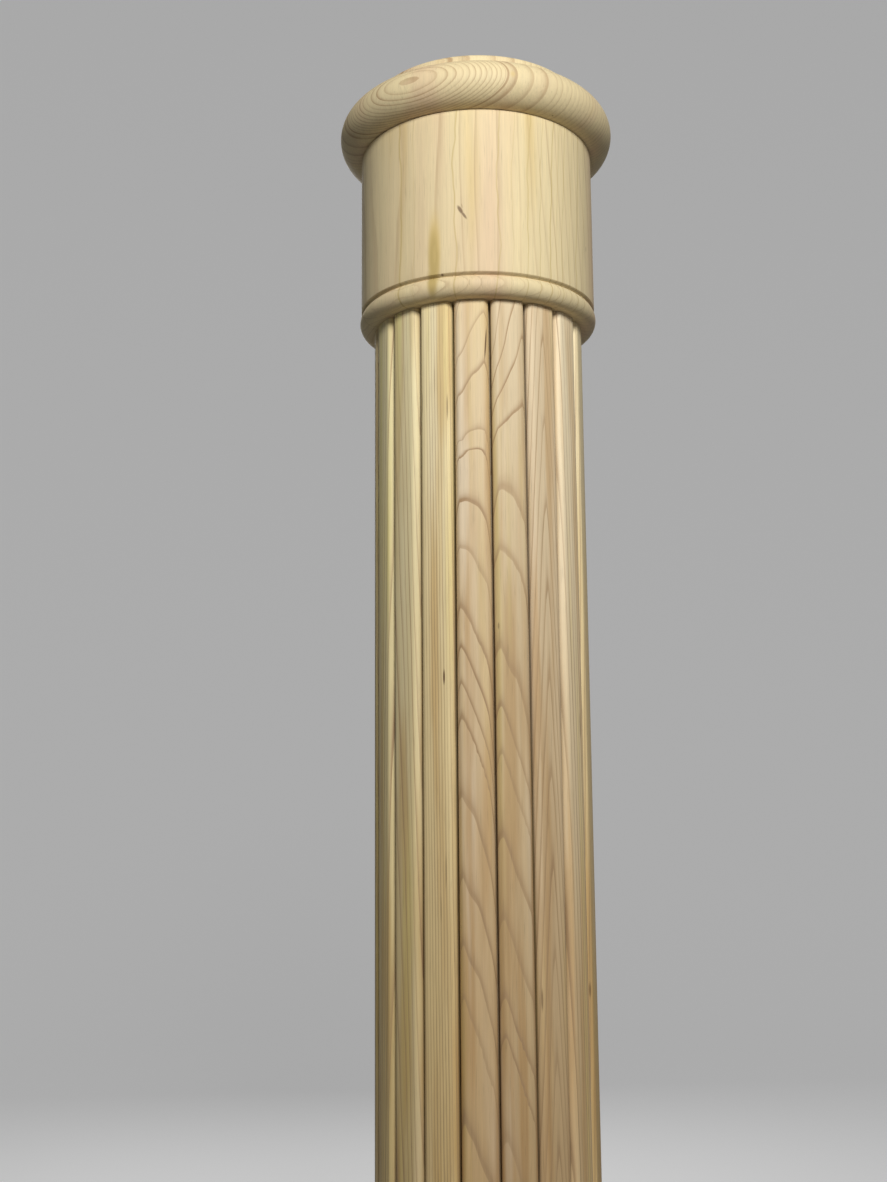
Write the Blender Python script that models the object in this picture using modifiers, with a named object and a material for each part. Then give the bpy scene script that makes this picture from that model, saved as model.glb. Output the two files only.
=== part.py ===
# Newel post: a reeded round shaft on a plain foot block, with a turned collar and a bullnosed cap.
# Metres, +Z up. The origin is the centre of the underside, and -Y is the front.

import math

import bpy

# Driving dimensions
SHAFT_RADIUS = 0.0762         # over the faces of the reeds
SHAFT_LENGTH = 0.9150
REED_COUNT = 18
REED_TURN = math.radians(6.4)  # how far the groove nearest the front stands to the right of it

GROOVE_DEPTH = 0.0110
GROOVE_MOUTH = 0.0017
GROOVE_FLOOR = 0.0012
SHOULDER_WIDTH = 0.0030
SHOULDER_DEPTH = 0.0046

COLLAR_RADIUS = 0.0860
COLLAR_DRUM_HEIGHT = 0.1186
COLLAR_EASE = 0.0006

BEAD_RADIUS = 0.0870          # over the bead
BEAD_ROUND = 0.0079
BEAD_HEIGHT = 0.0144
QUIRK_HEIGHT = 0.0014         # the V groove between the bead and the drum
QUIRK_DEPTH = 0.0020

CAP_RADIUS = 0.1018
CAP_ROUND = 0.0172            # radius of the bullnose, half the thickness of the cap's rim
CROWN_RADIUS = 0.0790
CROWN_STEP = 0.0111
CROWN_EASE = 0.0030
CROWN_RISE = 0.0035

FOOT_RADIUS = 0.0860
FOOT_DRUM_HEIGHT = 0.1040
FOOT_EASE = 0.0020

JOINT_GAP = 0.0003            # between two pieces that bear on each other
MERGE = 0.00001

# Fineness of the solids
TURNING_STEPS = 64
BULLNOSE_POINTS = 13
BEAD_POINTS = 8
CROWN_POINTS = 4
SHOULDER_POINTS = 5

WOOD_ROUGHNESS = 0.55
CAP_COLOUR = (0.74, 0.61, 0.40, 1.0)
COLLAR_COLOUR = (0.76, 0.63, 0.42, 1.0)
SHAFT_COLOUR = (0.70, 0.54, 0.36, 1.0)
FOOT_COLOUR = (0.74, 0.60, 0.40, 1.0)

# Heights, worked out from the floor up
FOOT_BEAD_BOTTOM = FOOT_DRUM_HEIGHT + QUIRK_HEIGHT
FOOT_TOP = FOOT_BEAD_BOTTOM + BEAD_HEIGHT
SHAFT_BOTTOM = FOOT_TOP + JOINT_GAP
SHAFT_TOP = SHAFT_BOTTOM + SHAFT_LENGTH
COLLAR_BOTTOM = SHAFT_TOP + JOINT_GAP
COLLAR_BEAD_TOP = COLLAR_BOTTOM + BEAD_HEIGHT
COLLAR_DRUM_BOTTOM = COLLAR_BEAD_TOP + QUIRK_HEIGHT
COLLAR_TOP = COLLAR_DRUM_BOTTOM + COLLAR_DRUM_HEIGHT
CAP_BOTTOM = COLLAR_TOP + JOINT_GAP


def clear_scene():
    for obj in list(bpy.data.objects):
        bpy.data.objects.remove(obj, do_unlink=True)


def make_collection():
    collection = bpy.data.collections.new("newel_post")
    bpy.context.scene.collection.children.link(collection)
    return collection


def wood(name, colour):
    material = bpy.data.materials.new(name)
    material.use_nodes = True
    shader = material.node_tree.nodes["Principled BSDF"]
    shader.inputs["Base Color"].default_value = colour
    shader.inputs["Roughness"].default_value = WOOD_ROUGHNESS
    shader.inputs["Metallic"].default_value = 0.0
    return material


def arc(centre_r, centre_z, radius_r, radius_z, start, end, count):
    """Points (r, z) along an elliptical arc, with its angles in degrees above the horizontal."""
    points = []
    for i in range(count):
        angle = math.radians(start + (end - start) * i / (count - 1))
        points.append((centre_r + radius_r * math.cos(angle), centre_z + radius_z * math.sin(angle)))
    return points


def turned(name, profile, material, collection):
    """A solid of revolution about Z from (r, z) points listed from the top down, axis to axis."""
    mesh = bpy.data.meshes.new(name)
    points = [(r, 0.0, z) for r, z in profile]
    edges = [(i, i + 1) for i in range(len(points) - 1)]
    mesh.from_pydata(points, edges, [])
    obj = bpy.data.objects.new(name, mesh)
    collection.objects.link(obj)
    obj.data.materials.append(material)
    screw = obj.modifiers.new("turning", "SCREW")
    screw.axis = "Z"
    screw.angle = math.tau
    screw.steps = TURNING_STEPS
    screw.render_steps = TURNING_STEPS
    screw.use_merge_vertices = True
    screw.merge_threshold = MERGE
    screw.use_smooth_shade = True
    return obj


def bead(flat_z, up):
    """The bead's points from its quirk to its flat face. up is 1 where the flat face is above, -1 below."""
    centre_r = BEAD_RADIUS - BEAD_ROUND
    centre_z = flat_z - up * BEAD_ROUND
    rise = BEAD_HEIGHT - BEAD_ROUND
    quirk_angle = math.degrees(math.asin(rise / BEAD_ROUND))
    return arc(centre_r, centre_z, BEAD_ROUND, BEAD_ROUND, -up * quirk_angle, up * 90, BEAD_POINTS)


def cap_profile():
    rim_r = CAP_RADIUS - CAP_ROUND
    rim_z = CAP_BOTTOM + CAP_ROUND
    rim_top = CAP_BOTTOM + 2 * CAP_ROUND
    crown_z = rim_top + CROWN_STEP
    crown_flat = CROWN_RADIUS - CROWN_EASE
    profile = []
    for i in range(CROWN_POINTS):
        share = i / CROWN_POINTS
        profile.append((crown_flat * share, crown_z + CROWN_RISE * (1 - share * share)))
    profile += arc(crown_flat, crown_z - CROWN_EASE, CROWN_EASE, CROWN_EASE, 90, 0, 3)
    profile.append((CROWN_RADIUS, rim_top))
    profile += arc(rim_r, rim_z, CAP_ROUND, CAP_ROUND, 90, -90, BULLNOSE_POINTS)
    profile.append((0.0, CAP_BOTTOM))
    return profile


def collar_profile():
    profile = [
        (0.0, COLLAR_TOP),
        (COLLAR_RADIUS - COLLAR_EASE, COLLAR_TOP),
        (COLLAR_RADIUS, COLLAR_TOP - COLLAR_EASE),
        (COLLAR_RADIUS, COLLAR_DRUM_BOTTOM),
        (COLLAR_RADIUS - QUIRK_DEPTH, COLLAR_BEAD_TOP),
    ]
    profile += bead(COLLAR_BOTTOM, -1)
    profile.append((0.0, COLLAR_BOTTOM))
    return profile


def foot_profile():
    profile = [(0.0, FOOT_TOP)]
    profile += reversed(bead(FOOT_TOP, 1))
    profile += [
        (FOOT_RADIUS - QUIRK_DEPTH, FOOT_BEAD_BOTTOM),
        (FOOT_RADIUS, FOOT_DRUM_HEIGHT),
        (FOOT_RADIUS, FOOT_EASE),
        (FOOT_RADIUS - FOOT_EASE, 0.0),
        (0.0, 0.0),
    ]
    return profile


def half_reed():
    """Points (sideways, outwards from the axis) from the middle of a reed's face to its groove's floor."""
    half_pitch = math.pi / REED_COUNT
    mouth_r = SHAFT_RADIUS - SHOULDER_DEPTH
    mouth_x = mouth_r * math.tan(half_pitch) - GROOVE_MOUTH / 2
    face_x = mouth_x - SHOULDER_WIDTH
    face_r = math.sqrt(SHAFT_RADIUS**2 - face_x**2)
    floor_r = SHAFT_RADIUS - GROOVE_DEPTH
    points = [(0.0, SHAFT_RADIUS)]
    points += arc(face_x, mouth_r, SHOULDER_WIDTH, face_r - mouth_r, 90, 0, SHOULDER_POINTS)
    points.append((floor_r * math.tan(half_pitch) - GROOVE_FLOOR / 2, floor_r))
    return points


def shaft_outline():
    """The reeded outline as (x, y), anticlockwise from the groove nearest the front."""
    half = half_reed()
    section = [(-x, r) for x, r in reversed(half)] + half[1:]
    pitch = math.tau / REED_COUNT
    outline = []
    for reed in range(REED_COUNT):
        middle = REED_TURN - math.pi / 2 + (reed + 0.5) * pitch
        for x, r in section:
            outline.append((
                r * math.cos(middle) - x * math.sin(middle),
                r * math.sin(middle) + x * math.cos(middle),
            ))
    return outline


def reeded_shaft(material, collection):
    curve = bpy.data.curves.new("reeded_shaft", "CURVE")
    curve.dimensions = "2D"
    curve.fill_mode = "BOTH"
    curve.extrude = SHAFT_LENGTH / 2
    outline = shaft_outline()
    spline = curve.splines.new("POLY")
    spline.points.add(len(outline) - 1)
    for point, (x, y) in zip(spline.points, outline):
        point.co = (x, y, 0.0, 1.0)
    spline.use_cyclic_u = True
    curve.materials.append(material)
    obj = bpy.data.objects.new("reeded_shaft", curve)
    obj.location.z = SHAFT_BOTTOM + SHAFT_LENGTH / 2
    collection.objects.link(obj)
    return obj


def build():
    clear_scene()
    collection = make_collection()
    turned("foot_block", foot_profile(), wood("foot_wood", FOOT_COLOUR), collection)
    reeded_shaft(wood("shaft_wood", SHAFT_COLOUR), collection)
    turned("collar", collar_profile(), wood("collar_wood", COLLAR_COLOUR), collection)
    turned("cap", cap_profile(), wood("cap_wood", CAP_COLOUR), collection)


build()
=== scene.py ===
import math
from collections import namedtuple

import bpy
import numpy as np
from bpy.props import FloatProperty, FloatVectorProperty, PointerProperty
from mathutils import Matrix, Vector


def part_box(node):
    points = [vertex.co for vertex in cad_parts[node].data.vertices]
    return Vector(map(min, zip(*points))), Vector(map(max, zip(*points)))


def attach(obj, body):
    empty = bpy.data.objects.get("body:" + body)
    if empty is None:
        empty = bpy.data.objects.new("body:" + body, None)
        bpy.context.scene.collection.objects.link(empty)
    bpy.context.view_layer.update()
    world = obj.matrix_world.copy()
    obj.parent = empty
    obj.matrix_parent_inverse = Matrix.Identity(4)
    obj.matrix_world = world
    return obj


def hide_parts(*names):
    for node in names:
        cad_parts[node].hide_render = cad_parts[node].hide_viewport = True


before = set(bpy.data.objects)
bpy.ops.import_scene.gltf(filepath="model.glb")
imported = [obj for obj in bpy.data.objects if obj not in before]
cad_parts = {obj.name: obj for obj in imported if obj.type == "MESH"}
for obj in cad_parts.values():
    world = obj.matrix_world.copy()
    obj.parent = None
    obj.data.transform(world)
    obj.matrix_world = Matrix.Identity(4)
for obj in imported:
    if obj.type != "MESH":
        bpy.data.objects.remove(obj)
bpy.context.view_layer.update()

bl_info = {
    "name": "Newel Post",
    "version": (1, 0, 0),
    "blender": (4, 5, 0),
    "location": "3D View > Sidebar > Newel Post",
    "description": "Builds a reeded newel post of bare wood with a turned collar and a bullnosed cap",
    "category": "Add Mesh",
}

# The frame's sizes, in metres: +Z up, -Y the front, the origin at the centre of the underside
CAP_LOW, CAP_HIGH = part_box("cap")
COLLAR_LOW, COLLAR_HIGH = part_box("collar")
SHAFT_LOW, SHAFT_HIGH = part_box("reeded_shaft")
FOOT_LOW, FOOT_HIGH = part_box("foot_block")

REED_COUNT = 18
REED_TURN = math.radians(6.4)  # how far the groove nearest the front stands to the right of it

# Fineness of the meshes
TURNING_SEGMENTS = 192
POLE_RADIUS = 0.004
DRUM_RINGS = 24
BULLNOSE_POINTS = 29
BEAD_POINTS = 15
EASE_POINTS = 5
CROWN_POINTS = 10
COVE_POINTS = 3
SHAFT_RINGS = 120
FACE_COLUMNS = 5
SHOULDER_POINTS = 7
WALL_SHARES = (0.2, 0.55, 1.0)  # of the way down a groove's wall, where its rows of points lie
END_SHARES = (0.8, 0.3)         # by which the shaft's outline is drawn in over its ends, one after another
SMOOTH_ANGLE = math.radians(38)
MERGE = 0.00001


def length(name, description, default):
    return FloatProperty(name=name, description=description, default=default, unit="LENGTH")


def power(name, description, default):
    return FloatProperty(name=name, description=description, default=default, unit="POWER")


def colour(name, description, default):
    return FloatVectorProperty(
        name=name, description=description, subtype="COLOR", size=3, default=default
    )


class NewelCapSizes(bpy.types.PropertyGroup):
    radius: length("Radius", "Over the bullnose", CAP_HIGH.x)
    bullnose: length("Bullnose", "Radius of the rounded rim, half its thickness", 0.0172)
    crown_radius: length("Crown", "Radius of the low crown on top", 0.0790)
    crown_step: length("Crown step", "Height of the crown's edge over the rim", 0.0111)
    crown_ease: length("Crown ease", "Rounding of the crown's edge", 0.0030)
    cove: length("Cove", "Fillet where the crown meets the rim", 0.0009)


class NewelCollarSizes(bpy.types.PropertyGroup):
    radius: length("Radius", "Of the drum", 0.0860)
    ease: length("Ease", "Rounding of the drum's edges", 0.0006)


class NewelBeadSizes(bpy.types.PropertyGroup):
    radius: length("Radius", "Over the bead", COLLAR_HIGH.x)
    rounding: length("Rounding", "Radius of the bead itself", 0.0079)
    height: length("Height", "From the quirk to the shaft", 0.0144)
    quirk_height: length("Quirk height", "Of the V groove", 0.0014)
    quirk_depth: length("Quirk depth", "Of the V groove", 0.0020)


class NewelShaftSizes(bpy.types.PropertyGroup):
    radius: length("Radius", "Over the reeds", 0.0762)
    groove_depth: length("Groove depth", "Below the reeds", 0.0110)
    groove_mouth: length("Groove mouth", "Width between two shoulders", 0.0017)
    groove_floor: length("Groove floor", "Width at the bottom", 0.0012)
    shoulder_width: length("Shoulder width", "Of a reed's rounded side", 0.0030)
    shoulder_depth: length("Shoulder depth", "Of a reed's rounded side", 0.0046)
    shoulder_flatness: FloatProperty(
        name="Shoulder flatness",
        description="0 is round, 1 is a plain chamfer",
        subtype="FACTOR",
        default=0.5,
    )


class NewelFootSizes(bpy.types.PropertyGroup):
    radius: length("Radius", "Of the drum", 0.0860)
    ease: length("Ease", "Rounding of the lower edge", 0.0020)


class NewelWood(bpy.types.PropertyGroup):
    cream: colour("Cream", "The palest wood", (0.77, 0.635, 0.37))
    honey: colour("Honey", "Yellow heart streaks", (0.68, 0.50, 0.20))
    blush: colour("Blush", "Pinkish wood", (0.72, 0.53, 0.33))
    olive: colour("Olive", "Greenish heartwood", (0.52, 0.385, 0.145))
    latewood: colour("Latewood", "The dark line of each ring", (0.42, 0.27, 0.14))
    fleck: colour("Fleck", "Small dark marks", (0.14, 0.075, 0.035))
    roughness: FloatProperty(
        name="Roughness", description="Of the sanded wood", subtype="FACTOR", min=0, max=1, default=0.62
    )


class NewelStage(bpy.types.PropertyGroup):
    floor_radius: length("Floor", "Radius of the flat floor", 3.2)
    cove_radius: length("Cove", "Radius of the floor's upturn", 1.2)
    wall_height: length("Wall", "Height of the backdrop", 5.0)
    paint: colour("Paint", "Colour of floor and backdrop", (0.62, 0.62, 0.62))
    paint_glow: FloatProperty(name="Paint glow", description="Even light on the backdrop", default=0.52)
    key_power: power("Key", "Power of the key light", 17.0)
    fill_power: power("Fill", "Power of the low fill light", 1.2)
    back_power: power("Back", "Power of the light behind", 15.0)
    sky: FloatProperty(name="Sky", description="Strength of the even light", default=0.085)


# Steps shared by the turned pieces


def deselect_all():
    if bpy.context.mode != "OBJECT":
        bpy.ops.object.mode_set(mode="OBJECT")
    bpy.ops.object.select_all(action="DESELECT")


def edit(piece, select_mode="EDGE"):
    bpy.context.view_layer.objects.active = piece
    bpy.ops.object.mode_set(mode="EDIT")
    bpy.ops.mesh.select_mode(type=select_mode)


def select_open_edges():
    bpy.ops.mesh.select_all(action="DESELECT")
    bpy.ops.mesh.select_non_manifold(extend=False, use_wire=True, use_boundary=True)


def arc(centre_r, centre_z, radius_r, radius_z, start, end, count):
    """Points (r, z) along an elliptical arc, with its angles in degrees above the horizontal."""
    points = []
    for i in range(count):
        angle = math.radians(start + (end - start) * i / (count - 1))
        points.append((centre_r + radius_r * math.cos(angle), centre_z + radius_z * math.sin(angle)))
    return points


def wall(radius, top, bottom, rings):
    """Points (r, z) down a drum's side, so that its grain and its light have something to follow."""
    return [(radius, top + (bottom - top) * i / rings) for i in range(1, rings)]


def turn(name, profile):
    """A turned piece: a disc at the top of the axis is drawn out along the profile and closed at its foot."""
    deselect_all()
    radius, height = profile[0]
    bpy.ops.mesh.primitive_circle_add(
        vertices=TURNING_SEGMENTS, radius=radius, fill_type="TRIFAN", location=(0, 0, height)
    )
    piece = bpy.context.active_object
    piece.name = name
    piece.data.name = name
    edit(piece)
    select_open_edges()
    for (last_radius, last_height), (radius, height) in zip(profile, profile[1:]):
        bpy.ops.mesh.extrude_edges_move(TRANSFORM_OT_translate={"value": (0, 0, height - last_height)})
        share = radius / last_radius
        bpy.ops.transform.resize(value=(share, share, 1), center_override=(0, 0, height))
    bpy.ops.mesh.extrude_edges_move(TRANSFORM_OT_translate={"value": (0, 0, 0)})
    bpy.ops.mesh.merge(type="CENTER")
    finish_mesh(piece)
    return piece


def finish_mesh(piece):
    """Merges doubles, turns the faces out, puts the object at the origin and shades it."""
    if bpy.context.mode != "EDIT_MESH":
        edit(piece)
    bpy.ops.mesh.select_all(action="SELECT")
    bpy.ops.mesh.remove_doubles(threshold=MERGE)
    bpy.ops.mesh.normals_make_consistent(inside=False)
    bpy.ops.mesh.select_all(action="DESELECT")
    bpy.ops.object.mode_set(mode="OBJECT")
    bpy.ops.object.select_all(action="DESELECT")
    piece.select_set(True)
    bpy.context.view_layer.objects.active = piece
    bpy.ops.object.transform_apply(location=True, rotation=True, scale=True)
    bpy.ops.object.shade_smooth_by_angle(angle=SMOOTH_ANGLE)


def hand_over(piece, node, material):
    """The finished piece takes the place of its node in the frame."""
    if len(piece.data.polygons) == 0:
        raise RuntimeError(f"{piece.name} has no faces")
    piece.data.materials.clear()
    piece.data.materials.append(material)
    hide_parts(node)
    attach(piece, "root")


# Profiles, as (r, z) from the top of the axis down


def cap_profile(sizes):
    bottom = CAP_LOW.z
    rim_top = bottom + 2 * sizes.bullnose
    crown_z = rim_top + sizes.crown_step
    crown_flat = sizes.crown_radius - sizes.crown_ease
    rise = CAP_HIGH.z - crown_z
    profile = []
    for i in range(CROWN_POINTS):
        radius = POLE_RADIUS + (crown_flat - POLE_RADIUS) * i / CROWN_POINTS
        profile.append((radius, crown_z + rise * (1 - (radius / crown_flat) ** 2)))
    ease, cove, nose = sizes.crown_ease, sizes.cove, sizes.bullnose
    profile += arc(crown_flat, crown_z - ease, ease, ease, 90, 0, EASE_POINTS)
    profile += arc(sizes.crown_radius + cove, rim_top + cove, cove, cove, 180, 270, COVE_POINTS)
    profile += arc(sizes.radius - nose, bottom + nose, nose, nose, 90, -90, BULLNOSE_POINTS)
    profile.append((POLE_RADIUS, bottom))
    return profile


def bead_profile(sizes, flat_z, up):
    """The bead from its quirk to its flat face. up is 1 where the flat face is above, -1 below."""
    quirk_angle = math.degrees(math.asin((sizes.height - sizes.rounding) / sizes.rounding))
    centre_r = sizes.radius - sizes.rounding
    centre_z = flat_z - up * sizes.rounding
    return arc(centre_r, centre_z, sizes.rounding, sizes.rounding, -up * quirk_angle, up * 90, BEAD_POINTS)


def collar_profile(sizes, bead):
    top = COLLAR_HIGH.z
    bead_top = COLLAR_LOW.z + bead.height
    drum_bottom = bead_top + bead.quirk_height
    ease = sizes.ease
    profile = [(POLE_RADIUS, top)]
    profile += arc(sizes.radius - ease, top - ease, ease, ease, 90, 0, EASE_POINTS)
    profile += wall(sizes.radius, top - ease, drum_bottom + ease, DRUM_RINGS)
    profile += arc(sizes.radius - ease, drum_bottom + ease, ease, ease, 0, -60, EASE_POINTS)
    profile.append((sizes.radius - bead.quirk_depth, bead_top))
    profile += bead_profile(bead, COLLAR_LOW.z, -1)
    profile.append((POLE_RADIUS, COLLAR_LOW.z))
    return profile


def foot_profile(sizes, bead):
    top = FOOT_HIGH.z
    bead_bottom = top - bead.height
    drum_top = bead_bottom - bead.quirk_height
    profile = [(POLE_RADIUS, top)]
    profile += reversed(bead_profile(bead, top, 1))
    profile.append((sizes.radius - bead.quirk_depth, bead_bottom))
    profile.append((sizes.radius, drum_top))
    ease = sizes.ease
    ease_z = FOOT_LOW.z + ease
    profile += wall(sizes.radius, drum_top, ease_z, DRUM_RINGS)
    profile += arc(sizes.radius - ease, ease_z, ease, ease, 0, -90, EASE_POINTS)
    profile.append((POLE_RADIUS, FOOT_LOW.z))
    return profile


# The reeded shaft


def half_reed(sizes):
    """Points (sideways, outwards from the axis) from the face's edge over the shoulder to the groove."""
    half_pitch = math.pi / REED_COUNT
    mouth_r = sizes.radius - sizes.shoulder_depth
    mouth_x = mouth_r * math.tan(half_pitch) - sizes.groove_mouth / 2
    face_x = mouth_x - sizes.shoulder_width
    face_r = math.sqrt(sizes.radius**2 - face_x**2)
    floor_r = sizes.radius - sizes.groove_depth
    floor_x = floor_r * math.tan(half_pitch)
    rounded = arc(face_x, mouth_r, sizes.shoulder_width, face_r - mouth_r, 90, 0, SHOULDER_POINTS)
    flat = sizes.shoulder_flatness
    points = []
    for i, (x, r) in enumerate(rounded):
        share = i / (SHOULDER_POINTS - 1)
        chamfer_x = face_x + (mouth_x - face_x) * share
        chamfer_r = face_r + (mouth_r - face_r) * share
        points.append((x + (chamfer_x - x) * flat, r + (chamfer_r - r) * flat))
    wall_x = floor_x - sizes.groove_floor / 2
    for share in WALL_SHARES:
        points.append((mouth_x + (wall_x - mouth_x) * share, mouth_r + (floor_r - mouth_r) * share))
    points.append((floor_x, floor_r))
    return points


def select_level(piece, axis, level):
    """In the open edit mesh, selects only the vertices whose place along that axis is at the level."""
    bpy.ops.mesh.select_mode(type="VERT")
    bpy.ops.mesh.select_all(action="DESELECT")
    bpy.ops.object.mode_set(mode="OBJECT")
    vertices = piece.data.vertices
    places = np.empty(len(vertices) * 3, np.float32)
    vertices.foreach_get("co", places)
    vertices.foreach_set("select", np.abs(places[axis::3] - level) < MERGE)
    bpy.ops.object.mode_set(mode="EDIT")


def one_reed(sizes):
    """A reed at the front: half its face is a grid, curved, drawn out to the groove and mirrored."""
    points = half_reed(sizes)
    face_x = points[0][0]
    height = SHAFT_HIGH.z - SHAFT_LOW.z
    deselect_all()
    bpy.ops.mesh.primitive_grid_add(
        x_subdivisions=FACE_COLUMNS,
        y_subdivisions=SHAFT_RINGS,
        size=1,
        location=(face_x / 2, -sizes.radius, (SHAFT_HIGH.z + SHAFT_LOW.z) / 2),
        rotation=(math.radians(90), 0, 0),
    )
    reed = bpy.context.active_object
    reed.name = "reeded_shaft_of_wood"
    reed.data.name = reed.name
    reed.scale = (face_x, height, 1)
    bpy.ops.object.transform_apply(location=True, rotation=True, scale=True)
    edit(reed, "VERT")
    for column in range(1, FACE_COLUMNS + 1):
        x = face_x * column / FACE_COLUMNS
        select_level(reed, 0, x)
        bpy.ops.transform.translate(value=(0, sizes.radius - math.sqrt(sizes.radius**2 - x * x), 0))
    bpy.ops.mesh.select_mode(type="EDGE")
    for (last_x, last_r), (x, r) in zip(points, points[1:]):
        bpy.ops.mesh.extrude_edges_move(TRANSFORM_OT_translate={"value": (x - last_x, last_r - r, 0)})
    bpy.ops.object.mode_set(mode="OBJECT")
    mirror = reed.modifiers.new("other half", "MIRROR")
    mirror.merge_threshold = MERGE
    bpy.ops.object.modifier_apply(modifier=mirror.name)
    return reed


def close_end(piece, height):
    """Draws the shaft's outline at that height in to the axis."""
    select_level(piece, 2, height)
    bpy.ops.mesh.select_mode(type="EDGE")
    for share in END_SHARES:
        bpy.ops.mesh.extrude_edges_move(TRANSFORM_OT_translate={"value": (0, 0, 0)})
        bpy.ops.transform.resize(value=(share, share, 1), center_override=(0, 0, height))
    bpy.ops.mesh.extrude_edges_move(TRANSFORM_OT_translate={"value": (0, 0, 0)})
    bpy.ops.mesh.merge(type="CENTER")


def reeded_shaft(sizes):
    shaft = one_reed(sizes)
    edit(shaft)
    bpy.ops.mesh.select_all(action="SELECT")
    middle = REED_TURN - math.pi / REED_COUNT
    bpy.ops.transform.rotate(value=-middle, orient_axis="Z", center_override=(0, 0, 0))
    bpy.ops.mesh.spin(
        steps=REED_COUNT, dupli=True, angle=math.tau, use_auto_merge=False, center=(0, 0, 0), axis=(0, 0, 1)
    )
    bpy.ops.mesh.select_all(action="SELECT")
    bpy.ops.mesh.remove_doubles(threshold=MERGE)
    for height in (SHAFT_HIGH.z, SHAFT_LOW.z):
        close_end(shaft, height)
    finish_mesh(shaft)
    return shaft


# How the reeds are figured. A ring's line crosses a reed where this height is the same all along it:
# the depth below the shaft's top, less deep, across and spread times the distances into the wood,
# to the right of the reed's middle, and from that middle to both sides. dark is the share of a ring
# that its dark line takes.
Stave = namedtuple("Stave", "deep across spread lean arches spacing dark tint")

# Depths below the shaft's top at which the arches of the two middle reeds have their tops
ARCHES_LEFT = (
    0.008, 0.046, 0.094, 0.106, 0.140, 0.173, 0.217, 0.242, 0.266, 0.286, 0.340, 0.391, 0.436, 0.470, 0.543
)
ARCHES_RIGHT = (0.030, 0.075, 0.139, 0.175, 0.248, 0.288, 0.317, 0.367, 0.420, 0.473, 0.496, 0.560)

# Reed by reed to the right, from the one to the left of the groove nearest the front
STAVES = (
    Stave(5, 0.0, 0, (-2.0, 0, 2.8), ARCHES_LEFT, 0, 0.40, (0.765, 0.60, 0.37)),
    Stave(5, 0.4, 0, (-5.0, 0, 2.6), ARCHES_RIGHT, 0, 0.40, (0.73, 0.585, 0.37)),
    Stave(9, 3.0, 17, (0, 0, 0), (), 0.060, 0.60, (0.76, 0.61, 0.395)),
    Stave(5, 48, 6, (0, 0, 0), (), 0.150, 0.50, (0.93, 0.785, 0.53)),
    Stave(4, -50, 8, (0, 0, 0), (), 0.140, 0.60, (0.90, 0.74, 0.42)),
    Stave(6, 14, 10, (0, 0, 0), (), 0.070, 0.45, (0.80, 0.65, 0.41)),
    Stave(4, 50, 0, (0, 0, 0), (), 0.130, 0.60, (0.79, 0.62, 0.42)),
    Stave(9, 5, 8, (0, 0, 0), (), 0.050, 0.40, (0.80, 0.64, 0.43)),
    Stave(6, 0.6, 0, (0, 0, 2.0), (), 0.045, 0.35, (0.79, 0.63, 0.41)),
    Stave(7, -0.8, 0, (0, 0, -2.2), (), 0.050, 0.35, (0.78, 0.62, 0.40)),
    Stave(4, 150, 0, (0, 0, 0), (), 0.340, 0.65, (0.86, 0.72, 0.41)),
    Stave(7, 12, 12, (0, 0, 0), (), 0.070, 0.45, (0.78, 0.66, 0.39)),
    Stave(9, -0.5, 2, (0, 0, 1.5), (), 0.055, 0.35, (0.78, 0.63, 0.41)),
    Stave(5, 44, 4, (0, 0, 0), (), 0.120, 0.50, (0.78, 0.62, 0.41)),
    Stave(6, 16, 8, (0, 0, 0), (), 0.080, 0.40, (0.76, 0.64, 0.38)),
    Stave(5, -46, 6, (0, 0, 0), (), 0.150, 0.50, (0.87, 0.765, 0.44)),
    Stave(6, 26, 10, (0, 0, 0), (), 0.120, 0.50, (0.84, 0.73, 0.43)),
    Stave(4, 190, 0, (0, 0, 0), (), 0.390, 0.60, (0.88, 0.74, 0.42)),
)
# Distances below the shaft's top: where the arches lean to the right, stand even and lean to the left
LEAN_HEIGHTS = (0.03, 0.11, 0.30)
LEAN_REACH = 0.007            # how far from the reed's middle a leaning arch has its top
SPREAD_SOFTNESS = 0.0015
# The dark lines of the rings are finer at the shaft's top
FINE_HEIGHTS = (0.04, 0.26)
FINE_SHARES = (0.5, 1.0)
# The shaft's colour grows warmer and darker downwards: partly the wood's own tone, partly painted shade where
# less light falls towards the bottom
TONE_AND_SHADE_HEIGHTS = (0.05, 0.57)
TONE_AND_SHADE_SHARE = (0.83, 0.72, 0.58)
# Depths below the reeds at which shade is painted into the grooves, and how much of the wood's colour is left
# there under the painted shade
GROOVE_PAINTED_SHADE_DEPTHS = (0.0030, 0.0046, 0.0060, 0.0110)
GROOVE_PAINTED_SHADES = (1.0, 0.82, 0.48, 0.40)


def ring_number(stave, sideways, depth, drop):
    """The count of rings at points of a reed, given as arrays. drop is measured down from the top."""
    lean = np.interp(drop, LEAN_HEIGHTS, stave.lean)
    spread = np.hypot(sideways, SPREAD_SOFTNESS)
    height = drop - stave.deep * depth - (stave.across + lean) * sideways
    height -= stave.spread * spread + np.abs(lean) * LEAN_REACH
    if not stave.arches:
        return height / stave.spacing
    arches = np.array(stave.arches)
    first = arches[1] - arches[0]
    last = arches[-1] - arches[-2]
    inside = np.interp(height, arches, np.arange(len(arches)))
    above = np.minimum(height - arches[0], 0) / first
    below = np.maximum(height - arches[-1], 0) / last
    return inside + above + below


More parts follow.
